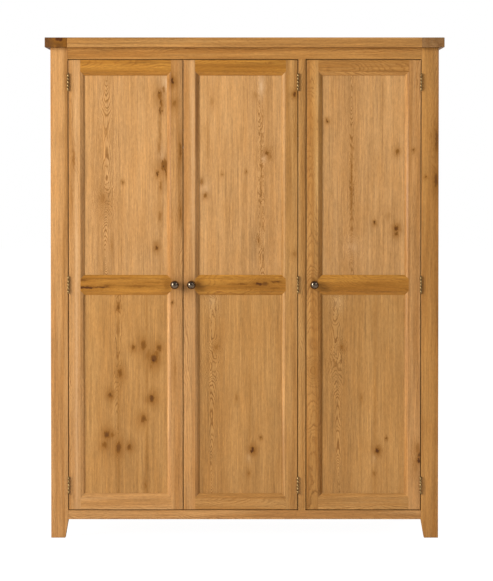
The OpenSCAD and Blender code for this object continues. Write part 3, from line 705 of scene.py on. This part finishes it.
FRAME_CUTS = {
    "left_door_hinge_stile": dict(heart=(-690, -190), lean=0.02, tone=STRAW,
                                  # The first, long pale streak is a painted highlight along the stile's
                                  # moulded edge.
                                  knots=((-633, 900, 4.5, -0.55, 0, 200), (-643, 1430, 4, 0.5, 2, 9),
                                         (-650, 1290, 3, 0.3, 1, 12))),
    "left_door_closing_stile": dict(heart=(-200, -190), lean=0.02, tone=STRAW,
                                    knots=((-272, 1722, 6.5, 0.95, 3, 1.8), (-264, 1638, 7, 0.55, 3, 1.8),
                                           (-241, 1461, 4, 0.7, 1, 8), (-241, 1225, 4, 0.6, 1, 6),
                                           (-272, 887, 3, 0.8, 1), (-262, 640, 4, 0.35, 1, 9),
                                           # painted shadow round the left door's knob, as a wide soft knot
                                           (-268, 956, 17, 0.52, 0, 0.75))),
    "left_door_top_rail": dict(heart=(1790, -200), lean=0.04, tone=GOLDEN),
    "left_door_middle_rail": dict(heart=(990, -200), lean=0.05, tone=GOLDEN,
                                  knots=((945, -596, 4.2, 0.95, 2, 8), (947, -540, 3.4, 0.85, 1, 9),
                                         (954, -517, 3.6, 0.7, 1, 5), (950, -395, 4.5, 0.60, 1, 12),
                                         (973, -606, 4, 0.7, 1, 4), (964, -350, 3, 0.45, 1, 14),
                                         # painted shadow left of the left door's knob, as a wide soft knot
                                         (956, -293, 17, 0.50, 0, 0.7))),
    "left_door_bottom_rail": dict(heart=(100, -200), lean=0.03, tone=CREAM),
    "middle_door_closing_stile": dict(heart=(-260, -190), lean=0.02, tone=STRAW,
                                      # The long pale streak is a painted highlight along the stile's
                                      # moulded edge.
                                      knots=((-195, 1400, 5, -0.5, 0, 60),
                                             # painted shadow round the middle door's knob, as a wide soft
                                             # knot
                                             (-198, 956, 17, 0.52, 0, 0.75))),
    "middle_door_hinge_stile": dict(heart=(250, -190), lean=0.02, tone=HONEY,
                                    knots=((188, 1673, 6.5, 0.85, 4), (191, 1540, 4, 0.32, 1, 16),
                                           (188, 1073, 7, 0.4, 4))),
    "middle_door_top_rail": dict(heart=(1800, -200), lean=0.04, tone=GOLDEN,
                                 knots=((1780, 30, 8, 0.35, 2, 14),)),
    "middle_door_middle_rail": dict(heart=(960, -190), lean=0.06, tone=GOLDEN,
                                    knots=((959, 77, 9, 0.78, 6, 1.7), (959, 53, 5.5, 0.95, 2, 2.6),
                                           (958, 80, 3.5, -0.7, 0, 1.4), (966, 118, 3.5, 0.85, 1, 5),
                                           (942, 112, 3.5, 0.65, 1, 5), (958, -12, 3.5, 0.7, 1, 7),
                                           # painted shadow right of the middle door's knob, as a wide soft
                                           # knot
                                           (948, 30, 3.0, 0.55, 1, 14), (956, -178, 15, 0.55, 0, 0.7))),
    "middle_door_bottom_rail": dict(heart=(150, -200), lean=0.03, tone=HONEY),
    "right_door_closing_stile": dict(heart=(256, -160), lean=0.05, tone=RUSSET,
                                     knots=((274, 1660, 5, -0.7, 2, 14), (272, 1360, 5, -0.7, 2, 22),
                                            (273, 1475, 6, -0.5, 4, 1.5), (256, 632, 12, 0.25, 6),
                                            # painted shadow round the right door's knob, as a wide soft
                                            # knot
                                            (264, 956, 17, 0.45, 0, 0.75))),
    "right_door_hinge_stile": dict(heart=(690, -190), lean=0.02, tone=STRAW,
                                   knots=((636, 1461, 3.5, 0.7, 2), (656, 292, 6.5, 0.95, 2, 1.3),
                                          (658, 315, 4.5, 0.85, 1, 2.2), (652, 338, 9, 0.50, 2, 2.2),
                                          (645, 270, 10, 0.30, 1, 2.5))),
    "right_door_top_rail": dict(heart=(1770, -200), lean=0.04, tone=RUSSET),
    "right_door_middle_rail": dict(heart=(930, -200), lean=0.05, tone=GOLDEN,
                                   knots=((958, 480, 5, 0.4, 2, 10), (944, 380, 4, 0.35, 1, 9))),
    "right_door_bottom_rail": dict(heart=(90, -200), lean=0.03, tone=HONEY),
}
for count, (node, cut) in enumerate(FRAME_CUTS.items()):
    grain = "up" if node.endswith("stile") else "across"
    finish_piece(boards[node], oak_finish(node + "_oak", grain, seed=10.0 + count, stripe=STRIPED, **cut))
print("door boards finished:", len(FRAME_CUTS))

# %% Carcass
CARCASS_CUTS = {
    "front_post_left": ("up", dict(heart=(-760, -190), lean=0.02, tone=STRAW)),
    "front_post_right": ("up", dict(heart=(760, -190), lean=0.02, tone=RUSSET,
                                    knots=((722, 1500, 6, 0.75, 2, 7), (720, 1350, 7, 0.8, 2, 4),
                                           (682, 1361, 4, 0.65, 2), (700, 1518, 4, 0.3, 1, 3)))),
    "rear_post_left": ("up", dict(heart=(-760, 190), tone=CLEAR)),
    "rear_post_right": ("up", dict(heart=(760, 190), tone=CLEAR)),
    "frieze_rail": ("across", dict(heart=(1860, -200), lean=0.012, tone=RUSSET)),
    "bottom_rail": ("across", dict(heart=(60, -200), lean=0.015, tone=STRAW)),
    "mullion": ("up", dict(heart=(250, -190), lean=0.02, tone=HONEY)),
    "side_rails": ("back", dict(heart=(700, 100), tone=CLEAR)),
    "rear_rails": ("across", dict(heart=(900, 350), tone=CLEAR)),
    "top_board": ("flat", dict(heart=(0, 1930), lean=0.012, stave=0.105, tone=HONEY)),
    "breadboard_end_left": ("back", dict(heart=(-720, 1900), lean=0.05, tone=BURNT,
                                         end_grain=True,
                                         knots=((-702, 1879, 9.5, 1.0, 1, 0.8),
                                                (-690, 1877, 8.5, 1.0, 1, 0.9),
                                                (-671, 1866, 11, 0.62, 1, 2.5),
                                                (-712, 1852, 6, 0.5, 1, 1.0)))),
    "breadboard_end_right": ("back", dict(heart=(700, 1900), lean=0.05, tone=SMOKED)),
    "floor_panel": ("flat", dict(heart=(0, 40), lean=0.01, stave=0.11, tone=CLEAR)),
    "partition": ("up_side", dict(heart=(0, 270), lean=0.01, stave=0.11, tone=CLEAR)),
    "shelf_left": ("flat", dict(heart=(0, 1510), lean=0.01, stave=0.11, tone=CLEAR)),
    "shelf_right": ("flat", dict(heart=(0, 1510), lean=0.01, stave=0.11, tone=CLEAR)),
    "shelf_cleats": ("back", dict(heart=(0, 1450), tone=CLEAR)),
    "head_battens": ("across", dict(heart=(1860, -200), tone=CLEAR)),
    "back_boards": ("up", dict(heart=(0, 330), lean=0.01, stave=0.1685, tone=CLEAR)),
}
for count, (node, (grain, cut)) in enumerate(CARCASS_CUTS.items()):
    finish_piece(boards[node], oak_finish(node + "_oak", grain, seed=30.0 + count, stripe=STRIPED, **cut))


print("carcass boards finished:", len(CARCASS_CUTS))

# %% Side panels
SIDE_HEARTS = {"left": -690, "right": 690}

for side, x in SIDE_HEARTS.items():
    node = "side_panel_" + side
    finish_piece(NODES[node], oak_finish(node + "_oak", "up_side", heart=(0, x * 0.93), lean=0.012,
                                         stave=0.13, seed=60.0 + x, tone=CLEAR))
print("oak finishes:", sum(m.name.endswith("_oak") for m in bpy.data.materials))

# %% [markdown]
# ## Metals and the catch's plastic
# The knobs are turned, polished and toned to a dark bronze. The hinges are brass that has gone a
# little dull. No metal is even, so each varies a little in tone, gloss and surface.

# %% A mottled finish
SPECKS_PER_PATCH = 9


def mottled(name, first, second, scale, rough, metal=1.0, dents=0.02):
    """A metal or plastic whose tone, gloss and surface vary a little."""
    material = bpy.data.materials.new(name)
    material.use_nodes = True
    tree = material.node_tree
    tree.nodes.clear()
    spot = add_node(tree, "ShaderNodeTexCoord").outputs["Object"]
    patches = noise(tree, spot, scale, detail=4.0, rough=0.6)
    specks = noise(tree, spot, scale * SPECKS_PER_PATCH, detail=2.0)
    colour = blend(tree, ramp(tree, patches, 0.35, 0.65), (*first, 1), (*second, 1))
    gloss = plus(tree, ramp(tree, patches, 0.3, 0.7, rough * 0.8, rough * 1.25),
                 times(tree, specks, rough * 0.2))
    bump = add_node(tree, "ShaderNodeBump", {"Height": specks, "Strength": 0.25, "Distance": dents * MM})
    shader = add_node(tree, "ShaderNodeBsdfPrincipled",
                      {"Base Color": colour, "Roughness": gloss, "Metallic": metal,
                       "Normal": bump.outputs[0]})
    out = add_node(tree, "ShaderNodeOutputMaterial")
    tree.links.new(shader.outputs[0], out.inputs[0])
    return material


print("specks per patch of tone:", SPECKS_PER_PATCH)

# %% Metal finishes
PEWTER = mottled("antique_pewter", (0.105, 0.076, 0.052), (0.190, 0.142, 0.100), scale=160, rough=0.13)
BRASS = mottled("aged_brass", (0.21, 0.13, 0.050), (0.42, 0.28, 0.12), scale=220, rough=0.34)
STEEL = mottled("zinc_plated_steel", (0.50, 0.50, 0.48), (0.62, 0.62, 0.60), scale=300, rough=0.32)
CHROME = mottled("chromed_tube", (0.72, 0.72, 0.72), (0.80, 0.80, 0.80), scale=90, rough=0.10, dents=0.005)
CATCH = mottled("catch_plastic", (0.72, 0.69, 0.60), (0.78, 0.75, 0.67), scale=250, rough=0.45, metal=0.0)
METALS = {"brass": BRASS, "steel": STEEL, "chrome": CHROME, "catch_plastic": CATCH}

fittings = [node for node in NODES if SLOTS[node] in METALS]
for node in fittings:
    finish_piece(NODES[node], METALS[SLOTS[node]])
print("metal and plastic pieces:", len(fittings))

# %% [markdown]
# ## The ball knobs
# The knobs are turned, so they are drawn as half an outline and spun: a thin base flange, a waisted
# neck, and a ball that is a little flattened where it meets the neck.

# %% Spin an outline
def turned(outline, sides=64):
    """A closed mesh spun about the -Y axis from (radius, distance out) points."""
    verts, faces = [], []
    for radius, out in outline:
        for k in range(sides):
            turn = 2 * math.pi * k / sides
            verts.append((radius * math.cos(turn), -out, radius * math.sin(turn)))
    for row in range(len(outline) - 1):
        for k in range(sides):
            a, b = row * sides + k, row * sides + (k + 1) % sides
            faces.append((a, b, b + sides, a + sides))
    faces.append(tuple(range(sides))[::-1])
    faces.append(tuple(range((len(outline) - 1) * sides, len(outline) * sides)))
    mesh = bpy.data.meshes.new("turned")
    mesh.from_pydata(verts, [], faces)
    mesh.validate()
    return mesh


print("lathe ready: turned")

# %% Turn the knobs
KNOB_FOOT = [(8.5, 0.0), (8.5, 1.0), (8.1, 1.8), (7.0, 2.5), (5.6, 3.4), (4.9, 4.6), (5.0, 5.8)]
NECK_AT_BALL = 5.6
BALL_STEPS = 24
OPEN_CROWN = 0.02      # the angle left open at the ball's crown, closed by a flat face


def knob_outline(ball, reach):
    """Base flange, waist and ball, from the door outwards."""
    points = list(KNOB_FOOT)
    centre = reach - ball
    start = math.asin(NECK_AT_BALL / ball)
    for step in range(BALL_STEPS + 1):
        angle = start + (math.pi - start - OPEN_CROWN) * step / BALL_STEPS
        points.append((ball * math.sin(angle), centre - ball * math.cos(angle)))
    return [(radius * MM, out * MM) for radius, out in points]


for door in DOORS:
    node = door + "_knob"
    low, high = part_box(node)
    ball, reach = (high.x - low.x) / 2 / MM, (high.y - low.y) / MM
    mesh = turned(knob_outline(ball, reach))
    mesh.transform(Matrix.Translation(((low.x + high.x) / 2, high.y, (low.z + high.z) / 2)))
    mesh.shade_smooth()
    mesh.set_sharp_from_angle(angle=math.radians(50))
    finish_piece(new_piece(node + "_turned", mesh, node), PEWTER)
print("knobs turned:", len(DOORS))

# %% [markdown]
# ## Hinges
# Brass butt hinges show only their barrels when the doors are shut. The frame already has every
# knuckle, so they only need their loose faces joined and their round sides shaded smooth.

# %% Soften the hinge knuckles
for node in fittings:
    soften = NODES[node].modifiers.new("merge", "WELD")
    soften.merge_threshold = TOUCHING
    NODES[node].data.shade_smooth()
    NODES[node].data.set_sharp_from_angle(angle=SMOOTH)
print("fittings softened:", len(fittings))

# %% [markdown]
# ## A plain studio
# Three large soft lamps: a strong one at the front left, so the wardrobe is brighter on its left, a
# small one at the front right, and one behind for the right side and the back. The floor and the
# sky show nearly white but light the wardrobe only dimly, so the wood keeps its depth. A brighter
# sky would be simpler, but it would wash the colour out.

# %% Soft lamps
def lamp(name, place, aim, width, height, watts):
    """A soft rectangular lamp that points at a place."""
    light = bpy.data.lights.new(name, "AREA")
    light.shape = "RECTANGLE"
    light.size, light.size_y, light.energy = width, height, watts
    holder = bpy.data.objects.new(name, light)
    holder.location = place
    holder.rotation_euler = (Vector(aim) - Vector(place)).to_track_quat("-Z", "Y").to_euler()
    bpy.context.scene.collection.objects.link(holder)


lamp("key", (-5.3, -3.3, 2.7), aim=(-0.1, -0.2, 1.0), width=2.8, height=3.4, watts=535)
lamp("fill", (2.9, -3.6, 3.3), aim=(0.1, -0.2, 1.1), width=1.0, height=1.2, watts=48)
lamp("back", (4.9, 3.4, 2.7), aim=(0.2, 0.2, 1.0), width=2.8, height=3.0, watts=300)
print("lamps:", len(bpy.data.lights))

# %% Floor
FLOOR_HALF = 30
WHITE = (1, 1, 1, 1)
FLOOR_GREY = (0.93, 0.93, 0.93, 1)
FLOOR_GLOW, FLOOR_SEEN = 1.14, 0.86      # how strongly the floor glows, and how much of that is seen


def sheet_of_light(tree, seen, soft, seen_share):
    """Mixes what the camera sees with what lights the wardrobe."""
    path = add_node(tree, "ShaderNodeLightPath").outputs["Is Camera Ray"]
    share = times(tree, path, seen_share)
    return add_node(tree, "ShaderNodeMixShader", {0: share, 1: soft, 2: seen}).outputs[0]


corners = [(x * FLOOR_HALF, y * FLOOR_HALF, 0) for x, y in ((-1, -1), (1, -1), (1, 1), (-1, 1))]
floor_mesh = bpy.data.meshes.new("floor")
floor_mesh.from_pydata(corners, [], [(0, 1, 2, 3)])
floor = bpy.data.objects.new("floor", floor_mesh)
bpy.context.scene.collection.objects.link(floor)
paint = bpy.data.materials.new("floor_paint")
paint.use_nodes = True
tree = paint.node_tree
tree.nodes.clear()
matt = add_node(tree, "ShaderNodeBsdfDiffuse", {"Color": FLOOR_GREY}).outputs[0]
glow = add_node(tree, "ShaderNodeEmission", {"Color": WHITE, "Strength": FLOOR_GLOW}).outputs[0]
add_node(tree, "ShaderNodeOutputMaterial", {0: sheet_of_light(tree, glow, matt, FLOOR_SEEN)})
floor_mesh.materials.append(paint)
print("floor in metres across:", 2 * FLOOR_HALF)

# %% Sky
SKY_TINT = (1, 0.985, 0.965, 1)
SKY_LIGHT = 0.27      # how strongly the sky lights the wardrobe, where 1 is what the camera sees

world = bpy.data.worlds.new("studio")
bpy.context.scene.world = world
world.use_nodes = True
tree = world.node_tree
tree.nodes.clear()
dim = add_node(tree, "ShaderNodeBackground", {"Color": SKY_TINT, "Strength": SKY_LIGHT}).outputs[0]
white = add_node(tree, "ShaderNodeBackground", {"Color": WHITE, "Strength": 1.0}).outputs[0]
add_node(tree, "ShaderNodeOutputWorld", {0: sheet_of_light(tree, white, dim, 1.0)})
bpy.context.scene.view_settings.view_transform = "Standard"
print("sky light:", SKY_LIGHT)

# %% [markdown]
# ## The camera
# It stands ten metres back with a long lens, so the wardrobe's upright lines stay upright and all
# three doors are seen square on.

# %% Camera
CAMERA_PLACE = (0.007, -10.262, 1.45)
DOWN_BY = math.radians(1.452)

camera = bpy.data.objects.new("camera", bpy.data.cameras.new("camera"))
bpy.context.scene.collection.objects.link(camera)
bpy.context.scene.camera = camera
camera.location = CAMERA_PLACE
camera.rotation_euler = (math.radians(90) - DOWN_BY, 0, 0)
camera.data.lens = 164.56
camera.data.shift_y = -0.12
camera.data.clip_end = 100
print("camera lens in millimetres:", round(camera.data.lens, 2))
